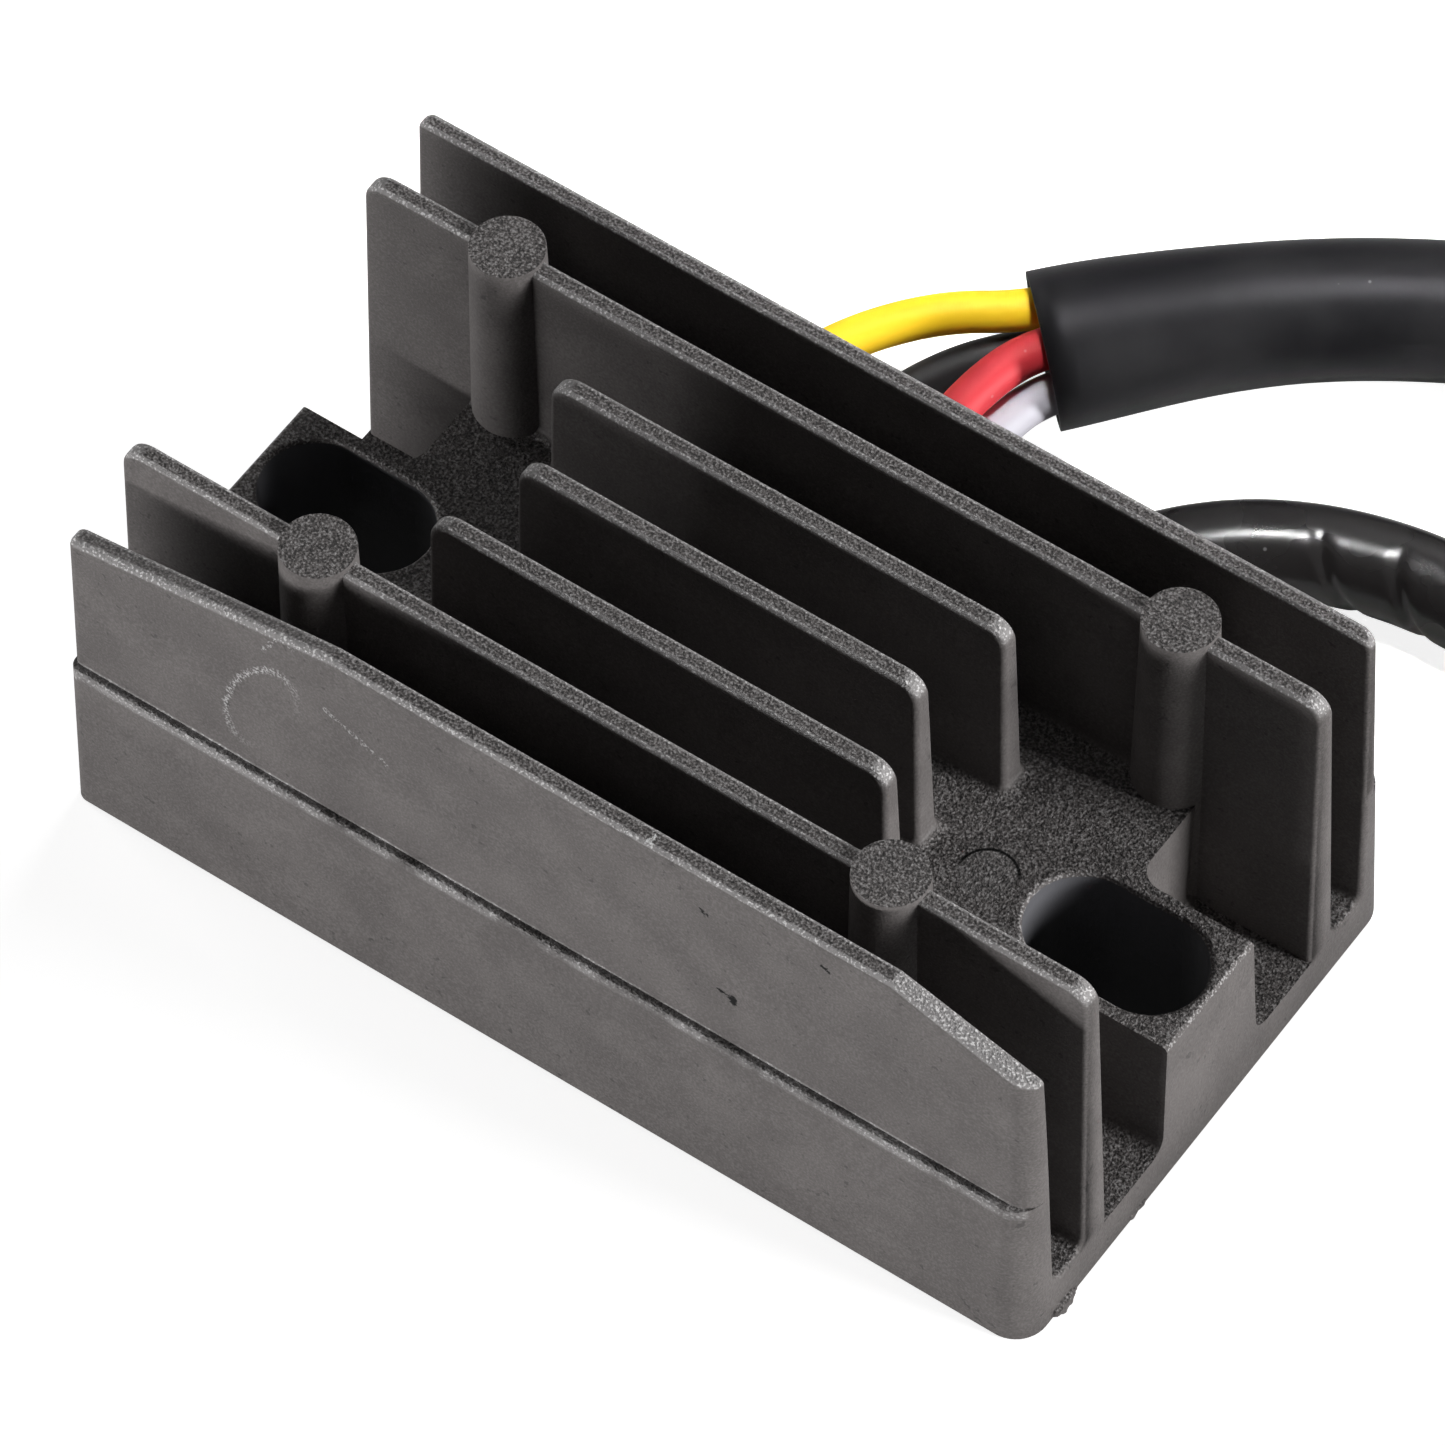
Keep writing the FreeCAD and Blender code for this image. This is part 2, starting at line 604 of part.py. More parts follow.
def route_wire(points):
    """Straight runs joined by tangent arcs, with the smallest radius of the arcs."""
    edges, radii, here = [], [], points[0]
    for before, corner, after in zip(points, points[1:], points[2:]):
        arriving, leaving = unit(corner - before), unit(after - corner)
        half = arriving.getAngle(leaving) / 2
        reach = 0.45 * min((corner - before).Length, (after - corner).Length)
        radius = reach / math.tan(half)
        start, end = corner - arriving * reach, corner + leaving * reach
        middle = corner + unit(leaving - arriving) * (radius / math.cos(half) - radius)
        edges.append(Part.LineSegment(here, start).toShape())
        edges.append(Part.Arc(start, middle, end).toShape())
        radii.append(radius)
        here = end
    edges.append(Part.LineSegment(here, points[-1]).toShape())
    return Part.Wire(edges), min(radii)


def cord(name, points, diameter, bores=()):
    """A round cord along a route, with a blind bore at each end that is named."""
    wire, tightest = route_wire(points)
    radius = size(diameter) / 2
    circle = Part.Circle(points[0], points[1] - points[0], radius).toShape()
    shape = wire.makePipeShell([Part.Wire([circle])], True, False)
    expected = math.pi * radius ** 2 * wire.Length
    if abs(shape.Volume - expected) > 0.01 * expected:
        raise ValueError(f"{name} has volume {shape.Volume:.1f} instead of {expected:.1f}")
    for end, bore, depth in bores:
        towards = points[1] - points[0] if end == "start" else points[-2] - points[-1]
        place = points[0] if end == "start" else points[-1]
        shape = shape.cut(Part.makeCylinder(size(bore) / 2, size(depth), place, towards))
    thing = doc.addObject("Part::Feature", name)
    thing.Shape = shape
    thing.Placement = FreeCAD.Placement()
    print(f"{name} length {wire.Length:.1f} tightest radius {tightest:.1f}")
    pieces.append(thing)
    return thing


# The braided sleeve of the main loom, which lies on the floor beside the heat sink
SLEEVE_Z = size("dims.sleeve_diameter / 2 + 0.05")
SLEEVE_ROUTE = ((-3.4, 39.3), (2.06, 45.81), (11.5, 54.0), (24.1, 60.8), (37.8, 64.1),
                (51.8, 63.8), (65.2, 60.0), (76.6, 53.6))
sleeve_points = [V(x, y, SLEEVE_Z) for x, y in SLEEVE_ROUTE]
cord("main_sleeve", sleeve_points, "dims.sleeve_diameter",
     (("start", "dims.sleeve_bore", "dims.sleeve_bore_depth"),
      ("end", "dims.sleeve_bore", "dims.sleeve_bore_depth")))

# Four wires from the lugs through the resin into the sleeve's mouth. The last run of each lies
# along the sleeve and stops at the bottom of its bore.
mouth = sleeve_points[0]
into = unit(sleeve_points[1] - mouth)
aside = V(-into.y, into.x, 0)
WIRE_Z = size("dims.wire_height")
FRONT_WIRES = (
    ("wire_yellow", YELLOW_X, (2.4, 1.0), ((-15.8, 27.8, 4.9), (-13.9, 32.6, 5.6),
                                           (-10.0, 37.6, 5.85))),
    ("wire_black", BLACK_X, (1.7, -1.7), ((-10.2, 29.0, 3.6), (-8.3, 35.8, 3.2))),
    ("wire_red", RED_X, (-0.7, 1.7), ((-5.0, 28.5, 5.6), (-4.45, 34.6, 6.4))),
    ("wire_white", WHITE_X, (-2.3, -0.9), ((-2.6, 26.8, 3.9), (-2.6, 32.5, 3.75))),
)
for name, x, (left, rise), between in FRONT_WIRES:
    place = mouth + aside * left + V(0, 0, rise)
    points = [V(size(x), size("dims.lug_end_y"), WIRE_Z), V(size(x), size("dims.straight_y"), WIRE_Z)]
    points += [V(*spot) for spot in between]
    points += [place, place + into * size("dims.sleeve_bore_depth")]
    buried.append(cord(name, points, "dims.wire_diameter"))


def tail(end, back, turn, rises, sides, seat, names):
    """Wires that leave a bore, turn twice and end side by side in a connector."""
    heading = math.atan2(end.y - back.y, end.x - back.x)
    angles = [heading - math.radians(size(turn)) * count for count in range(3)]
    ways = [V(math.cos(angle), math.sin(angle), 0) for angle in angles]
    lefts = [V(-way.y, way.x, 0) for way in ways]
    depth, first, middle, last = seat
    corner = end + ways[0] * first
    second = corner + ways[1] * middle
    stop = second + ways[2] * last
    for name, (rise, rise_end), (side, side_end) in zip(names, rises, sides):
        low, high = lefts[0] * side + V(0, 0, rise), lefts[2] * side_end
        points = [end - ways[0] * depth + low, corner + low, second + high, stop + high]
        for point in points[2:]:
            point.z = rise_end
        cord(name, points, "dims.wire_diameter")
    return stop, ways[2]


def connector(name, plug, rows, end, way):
    """A moulded housing with a latch arm and brass terminals, its wires seated from behind."""
    seat = "dims.wire_seat_depth"
    length, width, height = (f"dims.{plug}_plug_{word}" for word in ("length", "width", "height"))
    housing = block(f"{name}_housing", length, width, height, ("0", f"-{width} / 2", "0"))
    arm = block(f"{name}_arm", "dims.latch_length", "dims.latch_width", "dims.latch_thickness",
                ("dims.latch_set_back", "-dims.latch_width / 2", f"{height} + dims.latch_gap"))
    heel = block(f"{name}_heel", "dims.latch_thickness * 2", "dims.latch_width",
                 "dims.latch_gap + dims.latch_thickness",
                 ("dims.latch_set_back + dims.latch_length - dims.latch_thickness * 2",
                  "-dims.latch_width / 2", height))
    whole = doc.addObject("Part::MultiFuse", f"{name}_moulding")
    whole.Shapes = [housing, arm, heel]
    tools, terminals = [], []
    backward = FreeCAD.Placement(end - way * size(seat) - V(0, 0, end.z),
                                 FreeCAD.Rotation(V(1, 0, 0), way))
    for row in range(rows):
        level = f"({height} / 2 + ({row} - {(rows - 1) / 2}) * dims.cavity_pitch_z)"
        for side in ("-", ""):
            across = f"({side}dims.cavity_pitch_y / 2)"
            number = len(terminals) + 1
            tools.append(solid("Cylinder", f"{name}_hole_{number}",
                               (("Radius", "dims.wire_diameter / 2"), ("Height", seat)),
                               ("0", across, level), 90))
            tools.append(block(
                f"{name}_cell_{number}", f"{length} - {seat}",
                "dims.terminal_width + dims.mouth_fit", "dims.terminal_height + dims.mouth_fit",
                (seat, f"{across} - (dims.terminal_width + dims.mouth_fit) / 2",
                 f"{level} - dims.terminal_height / 2")))
            outside = block(f"{name}_box_{number}", "dims.terminal_length", "dims.terminal_width",
                            "dims.terminal_height",
                            (seat, f"{across} - dims.terminal_width / 2",
                             f"{level} - dims.terminal_height / 2"))
            inside = block(f"{name}_gap_{number}", "dims.terminal_length",
                           "dims.terminal_width - 2 * dims.terminal_wall",
                           "dims.terminal_height - 2 * dims.terminal_wall",
                           (f"{seat} + dims.terminal_wall * 3",
                            f"{across} - dims.terminal_width / 2 + dims.terminal_wall",
                            f"{level} - dims.terminal_height / 2 + dims.terminal_wall"))
            terminal = doc.addObject("Part::Cut", f"{name}_terminal_{number}")
            terminal.Base, terminal.Tool = outside, inside
            terminals.append(terminal)
    voids = doc.addObject("Part::MultiFuse", f"{name}_voids")
    voids.Shapes = tools
    body = doc.addObject("Part::Cut", name)
    body.Base, body.Tool = whole, voids
    for thing in [body, *terminals]:
        thing.Placement = backward
    pieces.extend([body, *terminals])


# The four wires that leave the sleeve's far end, and the connector that they share
PITCH_Y, PITCH_Z = size("dims.cavity_pitch_y / 2"), size("dims.cavity_pitch_z / 2")
grip = size("dims.wire_pair / 2")
centre = size("dims.main_plug_height / 2")
levels = ((grip, centre + PITCH_Z), (-grip, centre - PITCH_Z))
main_names = ("rear_wire_yellow", "rear_wire_black", "rear_wire_red", "rear_wire_white")
main_rises = (levels[0], levels[1], levels[0], levels[1])
main_sides = ((grip, PITCH_Y), (grip, PITCH_Y), (-grip, -PITCH_Y), (-grip, -PITCH_Y))
stop, way = tail(sleeve_points[-1], sleeve_points[-2], "dims.main_turn", main_rises, main_sides,
                 (size("dims.sleeve_bore_depth"), 2.0, 15.2, 15.0), main_names)
connector("main_connector", "main", 2, stop, way)

# The glossy tube of the short loom, folded close to the wall and then lying on the floor
TUBE_Z = size("dims.tube_diameter / 2 + 0.05")
TUBE_ROUTE = ((10.6, 32.2), (15.0, 36.5), (20.8, 38.8), (27.5, 39.2), (36.4, 38.0), (47.2, 33.9),
              (54.9, 27.1))
tube_x = size(TUBE_X)
tube_points = [V(tube_x, size("dims.lug_end_y"), WIRE_Z), V(tube_x, size("dims.straight_y"), WIRE_Z),
               V(tube_x + 0.2, 27.0, 3.5)] + [V(x, y, TUBE_Z) for x, y in TUBE_ROUTE]
buried.append(cord("small_tube", tube_points, "dims.tube_diameter",
                   (("end", "dims.tube_bore", "dims.tube_bore_depth"),)))

# Its two wires and their connector
level = (0.0, size("dims.small_plug_height / 2"))
stop, way = tail(tube_points[-1], tube_points[-2], "dims.small_turn", (level, level),
                 ((grip, PITCH_Y), (-grip, -PITCH_Y)),
                 (size("dims.tube_bore_depth"), 2.5, 15.0, 14.8), ("small_wire_1", "small_wire_2"))
connector("small_connector", "small", 1, stop, way)
doc.recompute()

# The potting resin, poured round everything in the cavity and a little short of the rim
pour = block("resin_pour", f"{CAVITY_LENGTH} + 1", "dims.cavity_width + 1", CAVITY_DEPTH,
             (f"-{CAVITY_LENGTH} / 2 - 0.5", "-dims.cavity_width / 2 - 0.5",
              "dims.resin_recess"))
spout = block("resin_spout", f"{OUTLET_LEFT} + {OUTLET_RIGHT} + 1",
              f"{SKIRT_HALF_WIDTH} - dims.cavity_width / 2 + 1 - dims.resin_recess",
              "dims.outlet_height",
              (f"-{OUTLET_LEFT} - 0.5", "dims.cavity_width / 2 - 1", "dims.resin_recess"))
poured = doc.addObject("Part::MultiFuse", "resin_whole")
poured.Shapes = [pour, spout]
taken = doc.addObject("Part::MultiFuse", "resin_gaps")
taken.Shapes = buried
resin = doc.addObject("Part::Cut", "resin")
resin.Base, resin.Tool = poured, taken
doc.recompute()
pieces.append(resin)

# Every object has to be sound before any file is written
for thing in doc.Objects:
    if {"Invalid", "Error"} & set(thing.State):
        raise ValueError(f"{thing.Name} is in state {thing.State}")
for piece in pieces:
    if piece.Shape.isNull() or not piece.Shape.isValid():
        raise ValueError(f"{piece.Name} has no sound shape")
    print(f"{piece.Name} volume {piece.Shape.Volume:.1f} solids {len(piece.Shape.Solids)}")

# One file for each piece
os.makedirs("parts", exist_ok=True)
for piece in pieces:
    piece.Label = piece.Name
    piece.Shape.exportStep(f"parts/{piece.Name}.step")
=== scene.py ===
import bpy
import math
from mathutils import Matrix, Vector
from mathutils.noise import turbulence


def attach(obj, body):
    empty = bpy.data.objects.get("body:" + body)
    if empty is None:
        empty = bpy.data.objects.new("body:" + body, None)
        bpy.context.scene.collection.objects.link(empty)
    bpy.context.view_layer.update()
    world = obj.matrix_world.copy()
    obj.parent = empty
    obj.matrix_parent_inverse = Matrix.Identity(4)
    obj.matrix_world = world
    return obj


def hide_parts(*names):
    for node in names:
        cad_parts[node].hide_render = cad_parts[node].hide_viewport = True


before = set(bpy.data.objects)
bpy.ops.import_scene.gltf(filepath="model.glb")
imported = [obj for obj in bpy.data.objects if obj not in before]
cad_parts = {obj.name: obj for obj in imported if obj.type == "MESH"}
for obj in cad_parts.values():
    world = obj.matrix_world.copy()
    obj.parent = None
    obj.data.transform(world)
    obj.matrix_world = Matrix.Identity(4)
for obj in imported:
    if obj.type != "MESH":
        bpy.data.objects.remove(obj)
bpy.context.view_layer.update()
bpy.ops.object.select_all(action="DESELECT")

# The camera: a long lens that looks steeply down along the fins from the front right corner, as
# for a catalogue picture. It aims at the middle of the heat sink and leans a little to one side.
AIM, DISTANCE = Vector((-0.000508, 0.000413, 0.012284)), 0.614757
AZIMUTH, ELEVATION, LEAN = (math.radians(angle) for angle in (36.314, 55.012, -1.436))
SENSOR, LENS = 36.0, 254.23

back = Vector((math.sin(AZIMUTH) * math.cos(ELEVATION), -math.cos(AZIMUTH) * math.cos(ELEVATION),
               math.sin(ELEVATION)))
across = Vector((math.cos(AZIMUTH), math.sin(AZIMUTH), 0))
above = back.cross(across)
right = across * math.cos(LEAN) + above * math.sin(LEAN)
top = above * math.cos(LEAN) - across * math.sin(LEAN)
lens = bpy.data.cameras.new("camera")
lens.sensor_width, lens.lens = SENSOR, LENS
lens.clip_start, lens.clip_end = 0.05, 20.0
camera = bpy.data.objects.new("camera", lens)
camera.matrix_world = Matrix.Translation(AIM + back * DISTANCE) @ Matrix(
    (right, top, back)).transposed().to_4x4()
bpy.context.scene.collection.objects.link(camera)
bpy.context.scene.camera = camera

# The heat sink: one aluminium die casting with a thin dark grey coating. The tops keep the coarse
# eroded grain of the die, the drafted walls are smoother and a little pitted, and the slots'
# walls are smooth. Its colour holds painted shade in the pits and hollows of the grain, and
# bright grains that are partly real wear, where handling has rubbed the edges and the fin tops,
# and partly painted glints and highlights on faces that look up and along rounded edges.
BLOCK_TOP = 0.0137
# The first two colours are painted shade: near black in the skin's pits and hollows, and in the
# pin's groove, the dent and the nicks. The third is the chalk's own colour.
PIT_SHADE_COLOUR, MARK_SHADE_COLOUR, CHALK_COLOUR = ((grey, grey, grey, 1) for grey in (0.03, 0.004, 0.75))


def add_node(tree, kind, inputs=None, **settings):
    """A node with its settings, its plain values and its links in one go."""
    node = tree.nodes.new(kind)
    for word, value in settings.items():
        setattr(node, word, value)
    for socket, value in (inputs or {}).items():
        if isinstance(value, bpy.types.NodeSocket):
            tree.links.new(value, node.inputs[socket])
        else:
            node.inputs[socket].default_value = value
    return node


def calc(tree, operation, first, second=0.0, clamp=False):
    """The result of one sum on two values or sockets."""
    node = add_node(tree, "ShaderNodeMath", {0: first, 1: second}, operation=operation)
    node.use_clamp = clamp
    return node.outputs[0]


def product(tree, first, *others):
    """Several values multiplied together."""
    for value in others:
        first = calc(tree, "MULTIPLY", first, value)
    return first


def greatest(tree, first, *others):
    """The greatest of several values."""
    for value in others:
        first = calc(tree, "MAXIMUM", first, value)
    return first


def scaled(tree, value, factor, offset):
    """A value times a factor, plus an offset."""
    return calc(tree, "ADD", product(tree, value, factor), offset)


def off_from(tree, value, middle):
    """How far a value is from a middle one."""
    return calc(tree, "ABSOLUTE", calc(tree, "SUBTRACT", value, middle))


def ease(tree, value, low, high):
    """A smooth step from 0 at the low value to 1 at the high one."""
    limits = {"Value": value, "From Min": low, "From Max": high}
    return add_node(tree, "ShaderNodeMapRange", limits, interpolation_type="SMOOTHSTEP").outputs[0]


def where(tree, *steps):
    """A mask from the product of several steps, each of a value from one limit to another."""
    return product(tree, *(ease(tree, *step) for step in steps))


def blend(tree, factor, first, second):
    """One colour fading into another."""
    colours = {0: factor, 6: first, 7: second}
    return add_node(tree, "ShaderNodeMix", colours, data_type="RGBA").outputs[2]


def split(tree, vector):
    """The three parts of a vector."""
    return add_node(tree, "ShaderNodeSeparateXYZ", {0: vector}).outputs


def noise(tree, place, scale, detail=2.0, roughness=0.5):
    """The values of a noise texture at a scale in cells for each metre."""
    return add_node(tree, "ShaderNodeTexNoise", {"Vector": place, "Scale": scale, "Detail": detail,
                                                 "Roughness": roughness}).outputs[0]


def new_group(name, inputs, outputs):
    """An empty node group with its sockets, and its two ends."""
    group = bpy.data.node_groups.new(name, "ShaderNodeTree")
    for title, kind, value in inputs:
        socket = group.interface.new_socket(title, in_out="INPUT", socket_type=f"NodeSocket{kind}")
        socket.default_value = value
    for title, kind in outputs:
        group.interface.new_socket(title, in_out="OUTPUT", socket_type=f"NodeSocket{kind}")
    return group, group.nodes.new("NodeGroupInput"), group.nodes.new("NodeGroupOutput")


def put_out(group, result, **values):
    """A group's results, linked to its outputs of the same names."""
    for title, value in values.items():
        group.links.new(value, result.inputs[title])
    return group


def cast_skin():
    """Die-cast skin by place and by slope: grain, patches and eroded tops, painted shade in the
    pits and hollows, and bright grains of rubbed wear on edges and painted glints on tops.
    """
    group, given, result = new_group(
        "cast_skin",
        (("Dark", "Color", (0.1, 0.1, 0.1, 1)), ("Light", "Color", (0.2, 0.2, 0.2, 1)),
         ("Rubbed", "Color", (0.5, 0.5, 0.5, 1)), ("Slot", "Color", (0.05, 0.05, 0.06, 1))),
        (("Color", "Color"), ("Roughness", "Float"), ("Height", "Float")))
    texture = group.nodes.new("ShaderNodeTexCoord")
    place = texture.outputs["Object"]
    x, y, z = split(group, place)
    slope = split(group, texture.outputs["Normal"])
    wide, deep = (calc(group, "ABSOLUTE", part) for part in (x, y))

    # Places: faces that look up, rounded edges, the fins' crowns (the outermost two start lower),
    # the ledge along the outer walls, and the slots' walls and rims
    facing_up = where(group, (slope[2], 0.55, 0.95))
    flattest = greatest(group, *(calc(group, "ABSOLUTE", part) for part in slope))
    rounded = where(group, (flattest, 0.998, 0.96))
    tips = greatest(group, where(group, (z, 0.0240, 0.0252)),
                    where(group, (z, 0.0236, 0.0250), (deep, 0.0160, 0.0166)))
    crown = product(group, tips, where(group, (slope[2], 0.25, 0.6)))
    ledge = product(group, greatest(group, rounded, where(group, (z, 0.0125, 0.0132))), where(
        group, (deep, 0.0184, 0.0187), (z, 0.0124, 0.0129), (z, BLOCK_TOP, 0.01345)))
    in_slot = where(group, (deep, 0.0042, 0.0038), (wide, 0.0221, 0.0222),
                    (wide, 0.03445, 0.03435), (slope[2], 0.3, 0.1), (z, 0.0134, 0.0131))
    rim = product(group, rounded, where(group, (deep, 0.0048, 0.0044), (wide, 0.0218, 0.0220),
                                        (z, 0.0128, 0.0131), (z, BLOCK_TOP, 0.0135)))
    leather = noise(group, place, 4000.0, 3.0, 0.6)
    sand = noise(group, place, 6000.0, 1.5)
    blotches = noise(group, place, 230.0, 5.0, 0.6)
    pits = noise(group, place, 1500.0)
    # Rubbed wear along the crowns' edges and the ledge, which also carry a painted highlight
    crown_wear_and_highlight = product(group, crown, rounded)
    ledge_wear_and_highlight = product(group, ledge, ease(group, blotches, 0.35, 0.6))

    # Colour: patches, painted shade in pits and hollows, the slots, and bright grains that are
    # rubbed wear on edges and painted glints and highlights on tops and rounded edges
    colour = blend(group, ease(group, blotches, 0.3, 0.75), given.outputs["Dark"],
                   given.outputs["Light"])
    # Painted shade: the grain's hollows, most on faces that look up, and the pits are darkened
    hollow_shade = product(group, ease(group, sand, 0.48, 0.36), calc(group, "ADD", facing_up, 0.25),
                      0.65)
    pit_and_hollow_shade = greatest(group, product(group, ease(group, pits, 0.34, 0.26), 0.45), hollow_shade)
    colour = blend(group, pit_and_hollow_shade, colour, PIT_SHADE_COLOUR)
    colour = blend(group, in_slot, colour, given.outputs["Slot"])
    # Painted glints and real wear: bright grains on faces that look up, on the crowns, along the
    # rubbed edges and on the slots' rims
    grains = greatest(group, 0.05, *(product(group, mask, share) for mask, share in (
        (facing_up, 0.34), (crown, 0.30), (crown_wear_and_highlight, 1.0), (ledge_wear_and_highlight, 0.9), (rim, 0.5))))
    bright = greatest(group, product(group, ease(group, sand, 0.51, 0.65), grains),
                      product(group, greatest(group, ledge_wear_and_highlight, crown_wear_and_highlight), 0.30))
    colour = blend(group, product(group, bright, calc(group, "SUBTRACT", 1.0, in_slot)), colour,
                   given.outputs["Rubbed"])

    # Gloss and relief: patchy, and the relief is coarse on tops, fine on walls and faint in slots
    rough = scaled(group, blotches, 0.3, 0.37)
    rough = calc(group, "SUBTRACT", rough, product(group, in_slot, 0.12), True)
    relief = greatest(group, product(group, greatest(group, crown, ledge), 0.6),
                      scaled(group, facing_up, 0.84, 0.16))
    relief = product(group, relief, scaled(group, in_slot, -0.9, 1.0))
    height = product(group, calc(group, "ADD", leather, product(group, sand, 0.30)), relief)
    height = calc(group, "SUBTRACT", height, product(group, pit_and_hollow_shade, 0.1))
    return put_out(group, result, Color=colour, Roughness=rough, Height=height)


def vector_calc(tree, operation, first, second=(0, 0, 0)):
    """The result of one sum on two vectors: a value for a length or a dot product."""
    node = add_node(tree, "ShaderNodeVectorMath", {0: first, 1: second}, operation=operation)
    return node.outputs["Value" if operation in ("LENGTH", "DOT_PRODUCT") else "Vector"]


def stretch(tree, vector, factor):
    """A vector times a value."""
    return add_node(tree, "ShaderNodeVectorMath", {0: vector, "Scale": factor},
                    operation="SCALE").outputs["Vector"]


def join(tree, x, y, z):
    """A vector from its three parts."""
    return add_node(tree, "ShaderNodeCombineXYZ", {0: x, 1: y, 2: z}).outputs[0]


def spot(tree, place, centre, reach):
    """A mask that fills a small ellipsoid and fades towards its edge."""
    far = vector_calc(tree, "DIVIDE", vector_calc(tree, "SUBTRACT", place, centre), reach)
    return ease(tree, vector_calc(tree, "LENGTH", far), 1.0, 0.6)


def stroke(tree, place, start, end, width):
    """A mask along a short line between two points, which fades towards its sides."""
    run = Vector(end) - Vector(start)
    offset = vector_calc(tree, "SUBTRACT", place, start)
    share = calc(tree, "ADD", vector_calc(tree, "DOT_PRODUCT", offset, run / run.length_squared),
                 0.0, True)
    aside = vector_calc(tree, "SUBTRACT", offset, stretch(tree, run, share))
    return ease(tree, vector_calc(tree, "LENGTH", aside), width / 2, width / 5)


# The marks of this one casting. Lines on the front wall are given by the x and z of both ends.
PIN, PIN_RADIUS, PIN_SHADED_SIDE = (0.01933, -0.00035, 0), 0.00188, (-0.3, 0.95, 0)
PIN_SCRATCH = (0.0183, -0.0014, BLOCK_TOP), (0.0207, 0.0007, BLOCK_TOP), 0.00022
RING, RING_WIDTH, RING_HEIGHT, RING_SHEAR = (-0.0205, 0, 0.0199), 0.00275, 0.00385, 0.85
RING_HEAVY_SIDE = (-0.5, 0, 0.85)
CHALK_LINES = (((-0.01564, 0.0236), (-0.0113, 0.0215), 0.0005, 0.30),
               ((-0.0202, 0.0260), (-0.0190, 0.0279), 0.00028, 0.35),
               ((-0.0190, 0.0279), (-0.0177, 0.0278), 0.00028, 0.30))
FLECK = (0.00765, 0, 0.02895), (0.0004, 1, 0.0003)
DENT = (0.01375, 0, 0.0179), (0.00035, 1, 0.0006)
NICKS = (((0.0127, 0.0182), (0.0137, 0.0180)), ((0.0114, 0.0254), (0.0118, 0.0251)),
         ((0.0200, 0.0267), (0.0205, 0.0264)))


def marks_and_shade():
    """The ejector pin's disc and scratch on the block, with painted shade along one side of its
    groove, and on the front wall a chalky ring with its trail, a bright fleck, and a dent and a
    few nicks darkened with painted shade."""
    group, _, result = new_group("marks_and_shade", (), (("Light", "Float"), ("Dark", "Float")))
    texture = group.nodes.new("ShaderNodeTexCoord")
    place = texture.outputs["Object"]
    x, y, z = split(group, place)
    slope = split(group, texture.outputs["Normal"])
    jitter = add_node(group, "ShaderNodeTexNoise", {"Vector": place, "Scale": 5000.0})
    jitter = vector_calc(group, "SUBTRACT", jitter.outputs["Color"], (0.5, 0.5, 0.5))
    jitter = stretch(group, jitter, 0.0008)
    rough_place = vector_calc(group, "ADD", place, jitter)
    broken = ease(group, noise(group, place, 6000.0, 1.0), 0.45, 0.60)

    on_block = where(group, (slope[2], 0.8, 0.95), (off_from(group, z, BLOCK_TOP), 0.0006, 0.0003))
    pin = vector_calc(group, "MULTIPLY", vector_calc(group, "SUBTRACT", place, PIN),
                      (1 / PIN_RADIUS, 1 / PIN_RADIUS, 0))
    far = vector_calc(group, "LENGTH", pin)
    disc = product(group, ease(group, far, 0.98, 0.92), 0.05)
    scratch = product(group, stroke(group, rough_place, *PIN_SCRATCH), 0.22)
    light = product(group, on_block, greatest(group, disc, scratch))
    # Painted shade along one side of the pin's groove
    dark = product(group, on_block, where(group, (off_from(group, far, 1.0), 0.075, 0.03), (
        vector_calc(group, "DOT_PRODUCT", pin, PIN_SHADED_SIDE), -0.2, 0.4)))

    on_wall = where(group, (slope[1], -0.8, -0.9), (y, -0.0170, -0.0172))
    flat = vector_calc(group, "MULTIPLY", rough_place, (1, 0, 1))
    ring = split(group, vector_calc(group, "SUBTRACT", flat, RING))
    height = calc(group, "SUBTRACT", ring[2], product(group, ring[0], RING_SHEAR))
    ring = join(group, product(group, ring[0], 1 / RING_WIDTH), 0.0,
                product(group, height, 1 / RING_HEIGHT))
    chalk = where(group, (off_from(group, vector_calc(group, "LENGTH", ring), 1.0), 0.12, 0.02), (
        vector_calc(group, "DOT_PRODUCT", ring, RING_HEAVY_SIDE), -1.0, 1.0))
    chalk = product(group, chalk, broken, 0.45)
    for start, end, width, strength in CHALK_LINES:
        line = stroke(group, flat, (start[0], 0, start[1]), (end[0], 0, end[1]), width)
        chalk = greatest(group, chalk, product(group, line, broken, strength))
    # Painted shade: the dent and the nicks are darkened towards near black
    nicks = spot(group, flat, *DENT)
    for start, end in NICKS:
        line = stroke(group, flat, (start[0], 0, start[1]), (end[0], 0, end[1]), 0.0003)
        nicks = greatest(group, nicks, line)
    fleck = product(group, spot(group, flat, *FLECK), ease(group, y, -0.0167, -0.0169))
    return put_out(group, result,
                   Light=greatest(group, light, product(group, on_wall, chalk), fleck),
                   Dark=greatest(group, dark, product(group, on_wall, nicks)))


# The middle planes of the two outer pairs of fins, and how their right ends' edges turn
INNER_FIN, OUTER_FIN = 0.0122, 0.01772
EDGE_START, EDGE_WIDTH, EDGE_TURN = 0.0004, 0.0013, math.radians(68)


